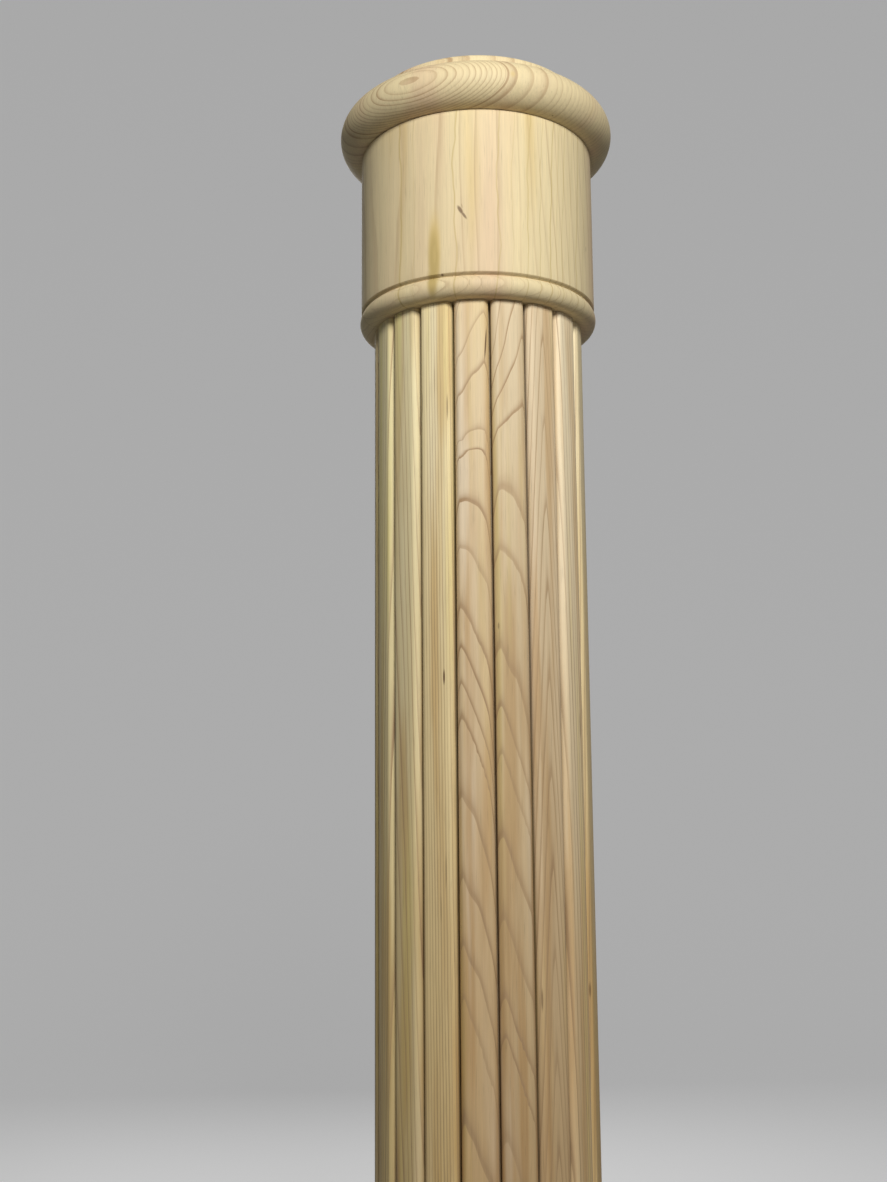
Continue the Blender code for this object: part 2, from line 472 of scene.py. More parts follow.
def mark_staves(shaft, sizes):
    """Writes each reed's ring count, number, dark share and tint, the tint's alpha carrying the painted shade
    of the grooves, on the face corners of the shaft.
    """
    mesh = shaft.data
    corners = len(mesh.loops)
    corner_vertex = np.empty(corners, np.int32)
    mesh.loops.foreach_get("vertex_index", corner_vertex)
    places = np.empty(len(mesh.vertices) * 3, np.float32)
    mesh.vertices.foreach_get("co", places)
    places = places.reshape(-1, 3)[corner_vertex]
    faces = len(mesh.polygons)
    centres = np.empty(faces * 3, np.float32)
    mesh.polygons.foreach_get("center", centres)
    centres = centres.reshape(-1, 3)
    totals = np.empty(faces, np.int32)
    mesh.polygons.foreach_get("loop_total", totals)
    pitch = math.tau / REED_COUNT
    azimuth = np.arctan2(centres[:, 0], -centres[:, 1])
    first_middle = REED_TURN - pitch / 2
    reed = np.repeat(np.rint((azimuth - first_middle) / pitch).astype(int) % REED_COUNT, totals)
    middle = first_middle + reed * pitch
    sideways = places[:, 0] * np.cos(middle) + places[:, 1] * np.sin(middle)
    outwards = places[:, 0] * np.sin(middle) - places[:, 1] * np.cos(middle)
    drop = SHAFT_HIGH.z - places[:, 2]
    grain = np.zeros((corners, 3), np.float32)
    tint = np.ones((corners, 4), np.float32)
    for number, stave in enumerate(STAVES):
        on_reed = reed == number
        depth = sizes.radius - outwards[on_reed]
        grain[on_reed, 0] = ring_number(stave, sideways[on_reed], depth, drop[on_reed])
        grain[on_reed, 1] = number
        grain[on_reed, 2] = stave.dark * np.interp(drop[on_reed], FINE_HEIGHTS, FINE_SHARES)
        # Painted shade, with some of the wood's own tone: the colour darkens and warms downwards
        tone_and_shade = np.interp(drop[on_reed], TONE_AND_SHADE_HEIGHTS, (0, 1))[:, None]
        tint[on_reed, :3] = np.array(stave.tint) * (1 - tone_and_shade * (1 - np.array(TONE_AND_SHADE_SHARE)))
        # The alpha carries the shade painted into the grooves, darker the deeper they go
        tint[on_reed, 3] = np.interp(depth, GROOVE_PAINTED_SHADE_DEPTHS, GROOVE_PAINTED_SHADES)
    mesh.attributes.new("grain", "FLOAT_VECTOR", "CORNER").data.foreach_set("vector", grain.ravel())
    mesh.attributes.new("tint", "FLOAT_COLOR", "CORNER").data.foreach_set("color", tint.ravel())


# Shader steps


def add_node(tree, kind, inputs=None, **settings):
    """Adds a node. inputs gives a socket's name or number a value, or the socket that feeds it."""
    node = tree.nodes.new(kind)
    for name, value in settings.items():
        setattr(node, name, value)
    for key, value in (inputs or {}).items():
        if isinstance(value, bpy.types.NodeSocket):
            tree.links.new(value, node.inputs[key])
        else:
            node.inputs[key].default_value = value
    return node


def calc(tree, operation, *values, clamp=False):
    inputs = dict(enumerate(values))
    return add_node(tree, "ShaderNodeMath", inputs, operation=operation, use_clamp=clamp).outputs[0]


def at_least(tree, factor, least, more, clamp=False):
    return calc(tree, "MULTIPLY_ADD", factor, more, least, clamp=clamp)


def levels(tree, value, start, end, first, last, interpolation="LINEAR"):
    """first where the value is at or below start, last where it is at or past end, and between them."""
    inputs = {"Value": value, "From Min": start, "From Max": end, "To Min": first, "To Max": last}
    node = add_node(tree, "ShaderNodeMapRange", inputs, interpolation_type=interpolation)
    return node.outputs[0]


def scaled(tree, vector, scale):
    return add_node(tree, "ShaderNodeMapping", {"Vector": vector, "Scale": scale}).outputs[0]


def noise(tree, vector, scale, detail=2.0, shift=None):
    """Noise from 0 to 1. scale is its frequency along each axis, in turns a metre."""
    inputs = {"Vector": scaled(tree, vector, scale), "Scale": 1.0, "Detail": detail}
    if shift is None:
        return add_node(tree, "ShaderNodeTexNoise", inputs).outputs["Fac"]
    inputs["W"] = shift
    return add_node(tree, "ShaderNodeTexNoise", inputs, noise_dimensions="4D").outputs["Fac"]


def ramp(tree, factor, stops):
    node = add_node(tree, "ShaderNodeValToRGB", {"Fac": factor})
    elements = node.color_ramp.elements
    while len(elements) < len(stops):
        elements.new(0.5)
    for element, (position, value) in zip(elements, stops):
        element.position = position
        element.color = (value, value, value, 1)
    return node.outputs["Color"]


def blend_colours(tree, factor, first, second, mode="MIX"):
    node = add_node(tree, "ShaderNodeMix", data_type="RGBA", blend_type=mode)
    for number, value in ((0, factor), (6, first), (7, second)):
        if isinstance(value, bpy.types.NodeSocket):
            tree.links.new(value, node.inputs[number])
        elif number == 0:
            node.inputs[number].default_value = value
        else:
            node.inputs[number].default_value = (*value, 1)
    return node.outputs[2]


def patch(tree, place, centre, size, soft=0.5, turned=(0, 0, 0)):
    """1 inside an ellipsoid and 0 outside it. size is its three radii, soft the share that is its edge."""
    inputs = {"Vector": place, "Location": centre, "Rotation": turned, "Scale": size}
    local = add_node(tree, "ShaderNodeMapping", inputs, vector_type="TEXTURE").outputs[0]
    reach = add_node(tree, "ShaderNodeVectorMath", {0: local}, operation="LENGTH").outputs["Value"]
    return levels(tree, reach, 1 - soft, 1.0, 1.0, 0.0, "SMOOTHSTEP")


# A blot is a soft patch at an azimuth, radius and height. A spot is a small mark along the grain
Blot = namedtuple("Blot", "azimuth radius height size soft")
Spot = namedtuple("Spot", "azimuth radius height half_width half_height darkness lean", defaults=(0,))
SPOT_DEPTH = 0.003


def blot(tree, place, where):
    centre = on_post(where.azimuth, where.radius, where.height)
    return patch(tree, place, centre, where.size, where.soft)


def patches(tree, place, spots, soft=0.6):
    """Small marks along the grain, or leaning to the right by some degrees."""
    total = None
    for spot in spots:
        centre = on_post(spot.azimuth, spot.radius, spot.height)
        size = (spot.half_width, SPOT_DEPTH, spot.half_height)
        turned = (0, math.radians(spot.lean), math.radians(spot.azimuth))
        mask = calc(tree, "MULTIPLY", patch(tree, place, centre, size, soft, turned), spot.darkness)
        total = mask if total is None else calc(tree, "MAXIMUM", total, mask)
    return total


def on_post(azimuth, radius, height):
    """The point at an azimuth in degrees to the right of the front."""
    angle = math.radians(azimuth)
    return (radius * math.sin(angle), -radius * math.cos(angle), height)


LINE_WAVES = (7, 7, 13)
LINE_BREAKS = (60, 60, 22)
LINE_CHANCE = (0.35, 1.2)


def upright_lines(tree, place, radius, lines, sway):
    """Fine wavy lines along the grain. lines are (azimuth, half width, darkness), sway their waviness."""
    parts = add_node(tree, "ShaderNodeSeparateXYZ", {0: place})
    back = calc(tree, "MULTIPLY", parts.outputs[1], -1.0)
    along = calc(tree, "MULTIPLY", calc(tree, "ARCTAN2", parts.outputs[0], back), radius)
    wave = calc(tree, "SUBTRACT", noise(tree, place, LINE_WAVES, 3.0, 4.0), 0.5)
    along = calc(tree, "MULTIPLY_ADD", wave, sway, along)
    total = None
    for azimuth, half_width, darkness in lines:
        away = calc(tree, "ABSOLUTE", calc(tree, "SUBTRACT", along, math.radians(azimuth) * radius))
        mask = levels(tree, away, 0.0, half_width, darkness, 0.0)
        total = mask if total is None else calc(tree, "MAXIMUM", total, mask)
    broken = at_least(tree, noise(tree, place, LINE_BREAKS, 1.0, 6.0), *LINE_CHANCE)
    return calc(tree, "MULTIPLY", total, broken, clamp=True)


# The quirk's middle from the bead's flat face, how dark the shade painted into it is and from where to where
# it fades
QUIRK_MIDDLE = 0.0150
QUIRK_DARKNESS = 0.4
QUIRK_FADE = (0.0002, 0.0008)


def quirk_shade(tree, place, height):
    """Paints shade into the V groove at that height, as a mask."""
    parts = add_node(tree, "ShaderNodeSeparateXYZ", {0: place})
    away = calc(tree, "ABSOLUTE", calc(tree, "SUBTRACT", parts.outputs[2], height))
    return levels(tree, away, *QUIRK_FADE, QUIRK_DARKNESS, 0.0)


# A ring's dark line, as (share of the line, darkness): it grows from the inner side and ends at once
RING_LINE = ((0.0, 0.0), (0.35, 0.14), (0.62, 0.5), (0.80, 1.0), (0.95, 0.95), (1.0, 0.2))
# The dark brown of the shade painted into the grooves and the quirks
PAINTED_SHADE_COLOUR = (0.105, 0.062, 0.026)
FIBRE = (900, 900, 26)
STREAKS = (330, 330, 9)
PORES = (1300, 1300, 55)
PORE_LEVELS = (0.60, 0.76)
# How dark a ring's line is: the least, and what chance adds ring by ring, then patch by patch
RING_CHANCE = (0.5, 0.6)
RING_SEEDS = 31.7
PATCHES = (60, 60, 9)
PATCH_CHANCE = (0.35, 1.1)
# The wood's tone: the least, and what the fibres and streaks add and the pores take
LEAST_TONE = 0.78
FIBRE_TONE = 0.28
STREAK_TONE = 0.16
PORE_TONE = 0.16
ROUGHNESS_RANGE = 0.12
SPECULAR = 0.32
LINE_RELIEF = -0.5
RELIEF_STRENGTH = 0.35
RELIEF_DEPTH = 0.00008


def wood(material, colours, ring, place, base, dark, strength=1.0, shift=0.0, marks=(), shade=None):
    """Bare sanded wood. ring is the ring count, base its colour before rings, dark the share of a ring
    that is dark, marks (mask, colour) pairs, and shade the share of the colour left under painted shade in
    the grooves."""
    tree = material.node_tree
    ring_body = calc(tree, "FLOOR", ring)
    fraction = calc(tree, "FRACT", ring)
    from_end = calc(tree, "DIVIDE", calc(tree, "SUBTRACT", 1.0, fraction), dark)
    line = ramp(tree, calc(tree, "SUBTRACT", 1.0, from_end, clamp=True), RING_LINE)
    seed = calc(tree, "MULTIPLY_ADD", shift, RING_SEEDS, ring_body)
    chance = add_node(tree, "ShaderNodeTexWhiteNoise", {"W": seed}, noise_dimensions="1D").outputs["Value"]
    strength = calc(tree, "MULTIPLY", strength, at_least(tree, chance, *RING_CHANCE))
    chance = noise(tree, place, PATCHES, 2.0, shift)
    strength = calc(tree, "MULTIPLY", strength, at_least(tree, chance, *PATCH_CHANCE))
    line = calc(tree, "MULTIPLY", line, strength, clamp=True)
    colour = blend_colours(tree, line, base, colours.latewood)
    fibre = noise(tree, place, FIBRE, 3.0, shift)
    streaks = noise(tree, place, STREAKS, 2.0, shift)
    pores = noise(tree, place, PORES, 1.0, shift)
    tone = calc(tree, "MULTIPLY_ADD", fibre, FIBRE_TONE, LEAST_TONE)
    tone = calc(tree, "MULTIPLY_ADD", streaks, STREAK_TONE, tone)
    tone = calc(tree, "SUBTRACT", tone, levels(tree, pores, *PORE_LEVELS, 0.0, PORE_TONE))
    tone = add_node(tree, "ShaderNodeCombineXYZ", {0: tone, 1: tone, 2: tone}).outputs[0]
    colour = blend_colours(tree, 1.0, colour, tone, "MULTIPLY")
    for mask, mark_colour in marks:
        colour = blend_colours(tree, mask, colour, mark_colour)
    if shade is not None:
        # Painted shade: the grooves' colour is drawn towards a dark brown
        lost = calc(tree, "SUBTRACT", 1.0, shade)
        colour = blend_colours(tree, lost, colour, PAINTED_SHADE_COLOUR)
    shader = tree.nodes["Principled BSDF"]
    tree.links.new(colour, shader.inputs["Base Color"])
    rough = calc(tree, "MULTIPLY_ADD", fibre, ROUGHNESS_RANGE, colours.roughness - ROUGHNESS_RANGE / 2)
    tree.links.new(rough, shader.inputs["Roughness"])
    shader.inputs["Specular IOR Level"].default_value = SPECULAR
    relief = calc(tree, "MULTIPLY_ADD", line, LINE_RELIEF, fibre)
    inputs = {"Height": relief, "Strength": RELIEF_STRENGTH, "Distance": RELIEF_DEPTH}
    bump = add_node(tree, "ShaderNodeBump", inputs)
    tree.links.new(bump.outputs[0], shader.inputs["Normal"])
    return material


def new_material(name):
    material = bpy.data.materials.new(name)
    material.use_nodes = True
    return material


def object_place(tree):
    return add_node(tree, "ShaderNodeTexCoord").outputs["Object"]


def ring_growth(tree, depth, zones):
    """The ring count at a depth into the wood. zones are (from, to, spacing), one after another."""
    count = None
    for start, end, spacing in zones:
        part = calc(tree, "MINIMUM", calc(tree, "MAXIMUM", depth, start), end)
        part = calc(tree, "DIVIDE", calc(tree, "SUBTRACT", part, start), spacing)
        count = part if count is None else calc(tree, "ADD", count, part)
    return count


def rings_round(tree, place, pith, turn_to, spacing, wobble, wobble_scale):
    """The ring count about a straight pith. turn_to is the grain's turn, wobble the noise in its growth."""
    inputs = {"Vector": place, "Location": pith, "Rotation": turn_to}
    local = add_node(tree, "ShaderNodeMapping", inputs, vector_type="TEXTURE").outputs[0]
    sway = noise(tree, local, wobble_scale, 1.5)
    parts = add_node(tree, "ShaderNodeSeparateXYZ", {0: local})
    inputs = {0: parts.outputs[0], 1: parts.outputs[1], 2: 0.0}
    flat = add_node(tree, "ShaderNodeCombineXYZ", inputs).outputs[0]
    reach = add_node(tree, "ShaderNodeVectorMath", {0: flat}, operation="LENGTH").outputs["Value"]
    reach = calc(tree, "MULTIPLY_ADD", sway, wobble, reach)
    return calc(tree, "DIVIDE", reach, spacing)


def broad_colour(tree, place, scale, first, second, low, high, shift=0.0):
    """Two woods in broad streaks along the grain: the second comes in where noise goes from low to high."""
    mask = levels(tree, noise(tree, place, scale, 2.0, shift), low, high, 0.0, 1.0, "SMOOTHSTEP")
    return blend_colours(tree, mask, first, second)


DRUM_RADIUS = 0.086           # at which the lines of the collar and the foot block are laid out
# Fine dark lines in the collar: azimuth, half width, darkness
COLLAR_LINES = (
    (-37.9, 0.0011, 0.75),
    (-30.0, 0.0007, 0.30),
    (-9.9, 0.0008, 0.65),
    (9.4, 0.0008, 0.60),
    (16.0, 0.0006, 0.30),
    (23.8, 0.0007, 0.60),
    (30.7, 0.0006, 0.55),
    (37.1, 0.0008, 0.70),
    (41.0, 0.0005, 0.40),
    (44.9, 0.0006, 0.60),
    (50.5, 0.0005, 0.45),
    (56.3, 0.0008, 0.65),
    (63.0, 0.0007, 0.45),
    (86.0, 0.0008, 0.50),
    (118.0, 0.0008, 0.60),
    (151.0, 0.0008, 0.50),
    (-70.0, 0.0009, 0.55),
    (-104.0, 0.0008, 0.50),
    (-139.0, 0.0008, 0.60),
)
# A slanting fleck with a short crack beside it, and a nick at the quirk
COLLAR_FLECKS = (
    Spot(-7.4, 0.086, 1.0962, 0.0017, 0.0048, 0.80, -30),
    Spot(-5.7, 0.086, 1.0922, 0.0012, 0.0046, 0.75, -33),
    Spot(-6.6, 0.086, 1.0990, 0.0005, 0.0024, 0.35, -12),
    Spot(66.0, 0.086, 1.0870, 0.0007, 0.0030, 0.45),
    Spot(-16.2, 0.0862, 1.0506, 0.0016, 0.0011, 0.85),
)


# The yellow streak that runs down the collar into its bead, with its darker core
STREAK = Blot(-19.8, 0.086, 1.070, (0.0064, 0.012, 0.036), 0.8)
STREAK_CORE = Blot(-20.1, 0.086, 1.062, (0.0052, 0.012, 0.030), 0.7)
STREAK_FOOT = Blot(-20.8, 0.087, 1.046, (0.0050, 0.012, 0.016), 0.7)
STREAK_NOISE = (260, 260, 50)
STREAK_CHANCE = (0.1, 2.0)

# Where the pith stands behind the collar, how the grain leans, the rings' spacing and their wander
COLLAR_PITH = (162, 0.060, 0)
COLLAR_TURN = (math.radians(1.2), math.radians(1.0), 0)
COLLAR_SPACING = 0.0042
COLLAR_WANDER = 0.012
COLLAR_WANDER_NOISE = (22, 22, 3)
COLLAR_LINE_SWAY = 0.018
BLUSH_STREAKS = (24, 24, 2.4)
HONEY_STREAKS = (34, 34, 3)


def collar_wood(colours):
    material = new_material("collar_wood_bare")
    tree = material.node_tree
    place = object_place(tree)
    pith = on_post(*COLLAR_PITH)
    ring = rings_round(tree, place, pith, COLLAR_TURN, COLLAR_SPACING, COLLAR_WANDER, COLLAR_WANDER_NOISE)
    base = broad_colour(tree, place, BLUSH_STREAKS, colours.cream, colours.blush, 0.45, 0.75)
    base = broad_colour(tree, place, HONEY_STREAKS, base, colours.honey, 0.56, 0.80, 3.0)
    core = calc(tree, "MAXIMUM", blot(tree, place, STREAK_CORE), blot(tree, place, STREAK_FOOT))
    uneven = noise(tree, place, STREAK_NOISE, 2.0, 9.0)
    core = calc(tree, "MULTIPLY", core, at_least(tree, uneven, *STREAK_CHANCE, clamp=True))
    marks = (
        (blot(tree, place, STREAK), colours.honey),
        (core, colours.olive),
        (upright_lines(tree, place, DRUM_RADIUS, COLLAR_LINES, COLLAR_LINE_SWAY), colours.olive),
        (patches(tree, place, COLLAR_FLECKS), colours.fleck),
        # Painted shade in the quirk's V groove
        (quirk_shade(tree, place, COLLAR_LOW.z + QUIRK_MIDDLE), PAINTED_SHADE_COLOUR),
    )
    return wood(material, colours, ring, place, base, 0.30, 0.45, marks=marks)


# The eye of the rings, a yellow spot to the right of it and a fleck under the rim
CAP_EYE = Blot(-27.2, 0.1015, 1.1880, (0.006, 0.006, 0.0022), 0.8)
CAP_KNOT = Blot(15.0, 0.1015, 1.1885, (0.0028, 0.004, 0.0036), 0.9)
CAP_FLECK = Blot(37.1, 0.090, 1.1718, (0.0012, 0.0012, 0.0012), 0.6)
CAP_BLUSH_STREAKS = (30, 30, 4)
CAP_HONEY_STREAKS = (40, 40, 6)


def cap_wood(colours):
    material = new_material("cap_wood_bare")
    tree = material.node_tree
    place = object_place(tree)
    ring, dark_ring, strength, grain_place = cap_rings(tree, place)
    base = broad_colour(tree, grain_place, CAP_BLUSH_STREAKS, colours.cream, colours.blush, 0.45, 0.8)
    base = broad_colour(tree, grain_place, CAP_HONEY_STREAKS, base, colours.honey, 0.6, 0.85, 2.0)
    marks = (
        (dark_ring, colours.latewood),
        (calc(tree, "MULTIPLY", blot(tree, place, CAP_EYE), 0.35), colours.blush),
        (calc(tree, "MULTIPLY", blot(tree, place, CAP_KNOT), 0.6), colours.honey),
        (blot(tree, place, CAP_FLECK), colours.fleck),
    )
    return wood(material, colours, ring, grain_place, base, 0.60, strength, marks=marks)


# Where the rings touch the rim and close into an eye, and how the grain slopes there
EYE_PLACE = (-27.2, 0.1018, 1.1885)
EYE_TURN = (math.radians(-3.7), 0, math.radians(-27.2))
# Depths into the cap from the eye, in metres: where the rings lie close, wide and close again
CAP_RINGS = ((-0.0016, 0.024, 0.0019), (0.024, 0.052, 0.0092), (0.052, 0.210, 0.0040))
CAP_SWAY = 0.0035
CAP_SWAY_NOISE = (16, 12, 30)
# One ring is darker, and from about there the lines of the others grow faint
DARK_RING_DEPTH = 0.024
DARK_RING_FADE = (0.0002, 0.0008)
DARK_RING_DARKNESS = 0.8
FAINT_DEPTHS = (0.020, 0.060)
FAINT_STRENGTHS = (0.75, 0.40)


def cap_rings(tree, place):
    """The ring count, the dark ring, the strength of the lines, and places in the board that the cap is cut
    from. It lies flat, so its grain runs level."""
    inputs = {"Vector": place, "Location": on_post(*EYE_PLACE), "Rotation": EYE_TURN}
    local = add_node(tree, "ShaderNodeMapping", inputs, vector_type="TEXTURE").outputs[0]
    sway = noise(tree, local, CAP_SWAY_NOISE, 1.5)
    parts = add_node(tree, "ShaderNodeSeparateXYZ", {0: local})
    depth = calc(tree, "MULTIPLY_ADD", sway, CAP_SWAY, calc(tree, "SUBTRACT", parts.outputs[1], CAP_SWAY / 2))
    away = calc(tree, "ABSOLUTE", calc(tree, "SUBTRACT", depth, DARK_RING_DEPTH))
    dark_ring = levels(tree, away, *DARK_RING_FADE, DARK_RING_DARKNESS, 0.0, "SMOOTHSTEP")
    strength = levels(tree, depth, *FAINT_DEPTHS, *FAINT_STRENGTHS)
    return ring_growth(tree, depth, CAP_RINGS), dark_ring, strength, local


SHAFT_SWAY = 0.55             # of a ring's line, as a share of the spacing
SHAFT_SWAY_NOISE = (70, 70, 9)
# What broad streaks do to a reed's colour, and their noise
PALE_LIGHT = (1.0, 1.0, 0.98)
PALE_SHARE = 0.12
PALE_STREAKS = (60, 60, 2.6)
BROWN_CAST = (0.84, 0.75, 0.64)
BROWN_STREAKS = (110, 110, 5.0)
YELLOW_CAST = (0.98, 0.97, 0.74)
YELLOW_STREAKS = (90, 90, 3.0)
# Flecks and small splits
SHAFT_FLECKS = (
    Spot(-19.2, 0.0762, 0.7757, 0.0009, 0.0068, 1.0),
    Spot(3.9, 0.0752, 1.0030, 0.0008, 0.0160, 0.9, 4),
    Spot(-30.6, 0.0752, 0.9650, 0.0006, 0.0120, 0.6),
    Spot(-16.4, 0.0752, 0.9600, 0.0006, 0.0120, 0.6),
    Spot(-23.4, 0.0762, 0.9800, 0.0004, 0.0140, 0.4),
    Spot(-18.9, 0.0762, 0.6507, 0.0005, 0.0140, 0.6),
    Spot(-21.7, 0.0762, 0.6254, 0.0005, 0.0120, 0.55),
    Spot(28.6, 0.0762, 0.5685, 0.0008, 0.0100, 0.6),
    Spot(60.3, 0.0758, 0.7453, 0.0009, 0.0120, 0.5),
    Spot(68.2, 0.0758, 0.5698, 0.0010, 0.0070, 0.65),
    Spot(8.7, 0.0757, 0.8090, 0.0007, 0.0030, 0.5),
)


def shaft_wood(colours):
    material = new_material("shaft_wood_bare")
    tree = material.node_tree
    place = object_place(tree)
    grain = add_node(tree, "ShaderNodeAttribute", attribute_name="grain").outputs["Vector"]
    parts = add_node(tree, "ShaderNodeSeparateXYZ", {0: grain})
    ring, number, dark = parts.outputs[0], parts.outputs[1], parts.outputs[2]
    sway = noise(tree, place, SHAFT_SWAY_NOISE, 1.0, number)
    ring = calc(tree, "MULTIPLY_ADD", calc(tree, "SUBTRACT", sway, 0.5), SHAFT_SWAY, ring)
    stave = add_node(tree, "ShaderNodeAttribute", attribute_name="tint")
    tint = stave.outputs["Color"]
    pale = blend_colours(tree, 1.0, tint, PALE_LIGHT, "SCREEN")
    pale = blend_colours(tree, PALE_SHARE, tint, pale)
    brown = blend_colours(tree, 1.0, tint, BROWN_CAST, "MULTIPLY")
    yellow = blend_colours(tree, 1.0, tint, YELLOW_CAST, "MULTIPLY")
    base = broad_colour(tree, place, PALE_STREAKS, tint, pale, 0.48, 0.70, number)
    apart = calc(tree, "ADD", number, 7.3)
    base = broad_colour(tree, place, BROWN_STREAKS, base, brown, 0.45, 0.66, apart)
    apart = calc(tree, "ADD", number, 3.1)
    base = broad_colour(tree, place, YELLOW_STREAKS, base, yellow, 0.50, 0.72, apart)
    marks = ((patches(tree, place, SHAFT_FLECKS), colours.fleck),)
    # The painted shade of the grooves, from the alpha of the tint attribute
    shade = stave.outputs["Alpha"]
    return wood(material, colours, ring, place, base, dark, 1.0, number, marks, shade)


FOOT_PITH = (140, 0.075, 0)
FOOT_TURN = (math.radians(-1.5), math.radians(1.4), 0)
FOOT_SPACING = 0.0040
FOOT_WANDER = 0.011
FOOT_WANDER_NOISE = (14, 14, 3)
FOOT_LINES = COLLAR_LINES[6:]
FOOT_LINE_SWAY = 0.013


def foot_wood(colours):
    material = new_material("foot_wood_bare")
    tree = material.node_tree
    place = object_place(tree)
    pith = on_post(*FOOT_PITH)
    ring = rings_round(tree, place, pith, FOOT_TURN, FOOT_SPACING, FOOT_WANDER, FOOT_WANDER_NOISE)
    base = broad_colour(tree, place, BLUSH_STREAKS, colours.cream, colours.blush, 0.45, 0.75, 5.0)
    marks = (
        (upright_lines(tree, place, DRUM_RADIUS, FOOT_LINES, FOOT_LINE_SWAY), colours.olive),
        # Painted shade in the quirk's V groove
        (quirk_shade(tree, place, FOOT_HIGH.z - QUIRK_MIDDLE), PAINTED_SHADE_COLOUR),
    )
    return wood(material, colours, ring, place, base, 0.35, 0.5, 5.0, marks)


# Operators, one for each piece and one for the stage


class NEWEL_OT_cap(bpy.types.Operator):
    """Turn the bullnosed cap"""

    bl_idname = "newel.cap"
    bl_label = "Cap"

    def execute(self, context):
        piece = turn("bullnosed_cap", cap_profile(context.scene.newel_cap))
        hand_over(piece, "cap", cap_wood(context.scene.newel_wood))
        return {"FINISHED"}


class NEWEL_OT_collar(bpy.types.Operator):
    """Turn the collar with its quirk and bead"""

    bl_idname = "newel.collar"
    bl_label = "Collar"

    def execute(self, context):
        scene = context.scene
        piece = turn("turned_collar", collar_profile(scene.newel_collar, scene.newel_bead))
        hand_over(piece, "collar", collar_wood(scene.newel_wood))
        return {"FINISHED"}


class NEWEL_OT_shaft(bpy.types.Operator):
    """Shape one reed, set it round the shaft and figure the wood of each"""

    bl_idname = "newel.shaft"
    bl_label = "Reeded shaft"

    def execute(self, context):
        scene = context.scene
        piece = reeded_shaft(scene.newel_shaft)
        mark_staves(piece, scene.newel_shaft)
        hand_over(piece, "reeded_shaft", shaft_wood(scene.newel_wood))
        return {"FINISHED"}


class NEWEL_OT_foot(bpy.types.Operator):
    """Turn the foot block with its bead"""

    bl_idname = "newel.foot"
    bl_label = "Foot block"

    def execute(self, context):
        scene = context.scene
        piece = turn("turned_foot_block", foot_profile(scene.newel_foot, scene.newel_bead))
        hand_over(piece, "foot_block", foot_wood(scene.newel_wood))
        return {"FINISHED"}


# Camera, as fitted to the cap's, the collar's and the shaft's outlines
CAMERA_PLACE = (0.0, -0.9792, 0.6883)
# Its turns in radians: upwards, to the left and about its own axis; its lens and sensor in millimetres
CAMERA_PITCH = 0.1583
CAMERA_YAW = 0.0275
CAMERA_ROLL = -0.0078
CAMERA_LENS = 41.97
CAMERA_SENSOR = 36.0
CAMERA_NEAR = 0.05

KEY_PLACE = (0.19, -1.21, 1.56)
KEY_SIZE = 0.4
FILL_PLACE = (0.5, -1.8, 0.50)
FILL_SIZE = 0.8
BACK_PLACE = (-0.2, 2.0, 1.7)
BACK_SIZE = 1.4
LIGHT_AIM = (0.0, 0.0, 0.95)

FLOOR_SEGMENTS = 96
FLOOR_COVE_POINTS = 9
PAINT_ROUGHNESS = 0.9
SKY_COLOUR = (1.0, 1.0, 1.0, 1.0)


def studio_floor(stage):
    """A round floor whose edge turns up into a wall all round."""
    deselect_all()
    bpy.ops.mesh.primitive_circle_add(
        vertices=FLOOR_SEGMENTS, radius=stage.floor_radius, fill_type="TRIFAN"
    )
    floor = bpy.context.active_object
    floor.name = "studio_floor"
    edit(floor)
    select_open_edges()
    path = [(stage.floor_radius, 0.0)]
    cove = stage.cove_radius
    path += arc(stage.floor_radius, cove, cove, cove, -80, 0, FLOOR_COVE_POINTS)
    path.append((path[-1][0], stage.wall_height))
    for (last_radius, last_height), (radius, height) in zip(path, path[1:]):
        bpy.ops.mesh.extrude_edges_move(TRANSFORM_OT_translate={"value": (0, 0, height - last_height)})
        share = radius / last_radius
        bpy.ops.transform.resize(value=(share, share, 1), center_override=(0, 0, height))
    bpy.ops.object.mode_set(mode="OBJECT")
    bpy.ops.object.shade_smooth()
    paint = new_material("studio_paint")
    shader = paint.node_tree.nodes["Principled BSDF"]
    shader.inputs["Base Color"].default_value = (*stage.paint, 1)
    shader.inputs["Roughness"].default_value = PAINT_ROUGHNESS
    shader.inputs["Emission Color"].default_value = (*stage.paint, 1)
    shader.inputs["Emission Strength"].default_value = stage.paint_glow
    floor.data.materials.append(paint)
    floor.visible_diffuse = False


def soft_light(name, place, size, power):
    data = bpy.data.lights.new(name, "AREA")
    data.shape = "DISK"
    data.size = size
    data.energy = power
    light = bpy.data.objects.new(name, data)
    bpy.context.scene.collection.objects.link(light)
    light.location = place
    light.rotation_euler = (Vector(LIGHT_AIM) - Vector(place)).to_track_quat("-Z", "Y").to_euler()
    light.visible_camera = False


def front_camera():
    sin_yaw, cos_yaw = math.sin(CAMERA_YAW), math.cos(CAMERA_YAW)
    sin_pitch, cos_pitch = math.sin(CAMERA_PITCH), math.cos(CAMERA_PITCH)
    ahead = Vector((-sin_yaw * cos_pitch, cos_yaw * cos_pitch, sin_pitch))
    level = Vector((cos_yaw, sin_yaw, 0.0))
    upright = level.cross(ahead)
    right = math.cos(CAMERA_ROLL) * level + math.sin(CAMERA_ROLL) * upright
    above = math.cos(CAMERA_ROLL) * upright - math.sin(CAMERA_ROLL) * level
    data = bpy.data.cameras.new("front_camera")
    data.lens = CAMERA_LENS
    data.sensor_width = CAMERA_SENSOR
    data.clip_start = CAMERA_NEAR
    camera = bpy.data.objects.new("front_camera", data)
    bpy.context.scene.collection.objects.link(camera)
    turned = Matrix((right, above, -ahead)).transposed().to_4x4()
    camera.matrix_world = Matrix.Translation(CAMERA_PLACE) @ turned
    bpy.context.scene.camera = camera


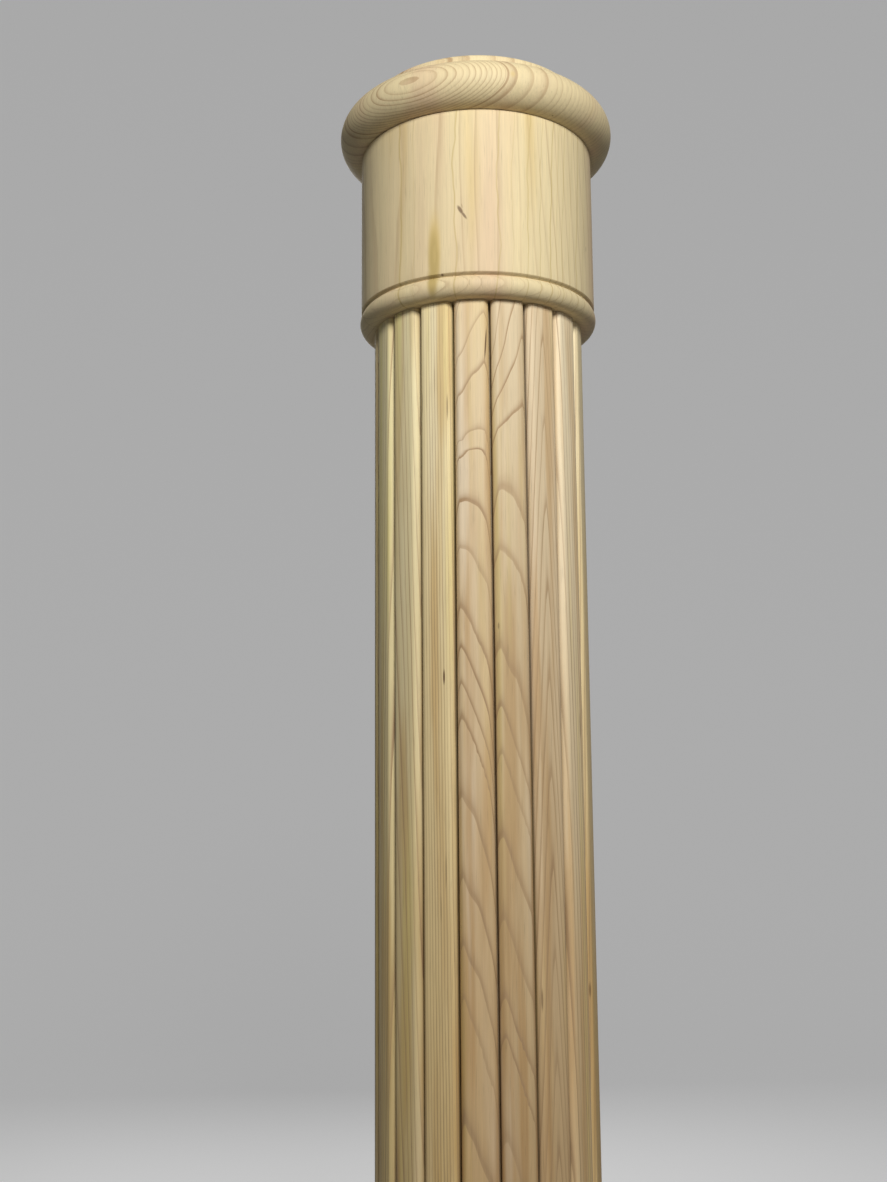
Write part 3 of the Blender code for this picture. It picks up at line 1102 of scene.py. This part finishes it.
class NEWEL_OT_stage(bpy.types.Operator):
    """Set up the floor, the soft lights and the camera"""

    bl_idname = "newel.stage"
    bl_label = "Stage"

    def execute(self, context):
        stage = context.scene.newel_stage
        studio_floor(stage)
        soft_light("key_light", KEY_PLACE, KEY_SIZE, stage.key_power)
        soft_light("fill_light", FILL_PLACE, FILL_SIZE, stage.fill_power)
        soft_light("back_light", BACK_PLACE, BACK_SIZE, stage.back_power)
        context.scene.view_settings.view_transform = "Standard"
        world = bpy.data.worlds.new("soft_sky")
        world.use_nodes = True
        sky = world.node_tree.nodes["Background"]
        sky.inputs["Color"].default_value = SKY_COLOUR
        sky.inputs["Strength"].default_value = stage.sky
        context.scene.world = world
        front_camera()
        return {"FINISHED"}


class NEWEL_PT_panel(bpy.types.Panel):
    """Lists the pieces of the post in the order in which they are made"""

    bl_idname = "NEWEL_PT_panel"
    bl_label = "Newel Post"
    bl_space_type = "VIEW_3D"
    bl_region_type = "UI"
    bl_category = "Newel Post"

    def draw(self, context):
        for name, operator in SECTIONS:
            box = self.layout.box()
            box.operator(operator)
            group = getattr(context.scene, name)
            for setting in group.bl_rna.properties:
                if setting.identifier not in ("rna_type", "name"):
                    box.prop(group, setting.identifier)


SECTIONS = (
    ("newel_foot", "newel.foot"),
    ("newel_shaft", "newel.shaft"),
    ("newel_collar", "newel.collar"),
    ("newel_cap", "newel.cap"),
    ("newel_stage", "newel.stage"),
)
GROUPS = {
    "newel_cap": NewelCapSizes,
    "newel_collar": NewelCollarSizes,
    "newel_bead": NewelBeadSizes,
    "newel_shaft": NewelShaftSizes,
    "newel_foot": NewelFootSizes,
    "newel_wood": NewelWood,
    "newel_stage": NewelStage,
}
CLASSES = (
    *GROUPS.values(),
    NEWEL_OT_cap,
    NEWEL_OT_collar,
    NEWEL_OT_shaft,
    NEWEL_OT_foot,
    NEWEL_OT_stage,
    NEWEL_PT_panel,
)


def register():
    for item in CLASSES:
        bpy.utils.register_class(item)
    for name, group in GROUPS.items():
        setattr(bpy.types.Scene, name, PointerProperty(type=group))


def unregister():
    for name in GROUPS:
        delattr(bpy.types.Scene, name)
    for item in reversed(CLASSES):
        bpy.utils.unregister_class(item)


def main():
    register()
    bpy.ops.newel.foot()
    bpy.ops.newel.shaft()
    bpy.ops.newel.collar()
    bpy.ops.newel.cap()
    bpy.ops.newel.stage()


if __name__ == "__main__":
    main()
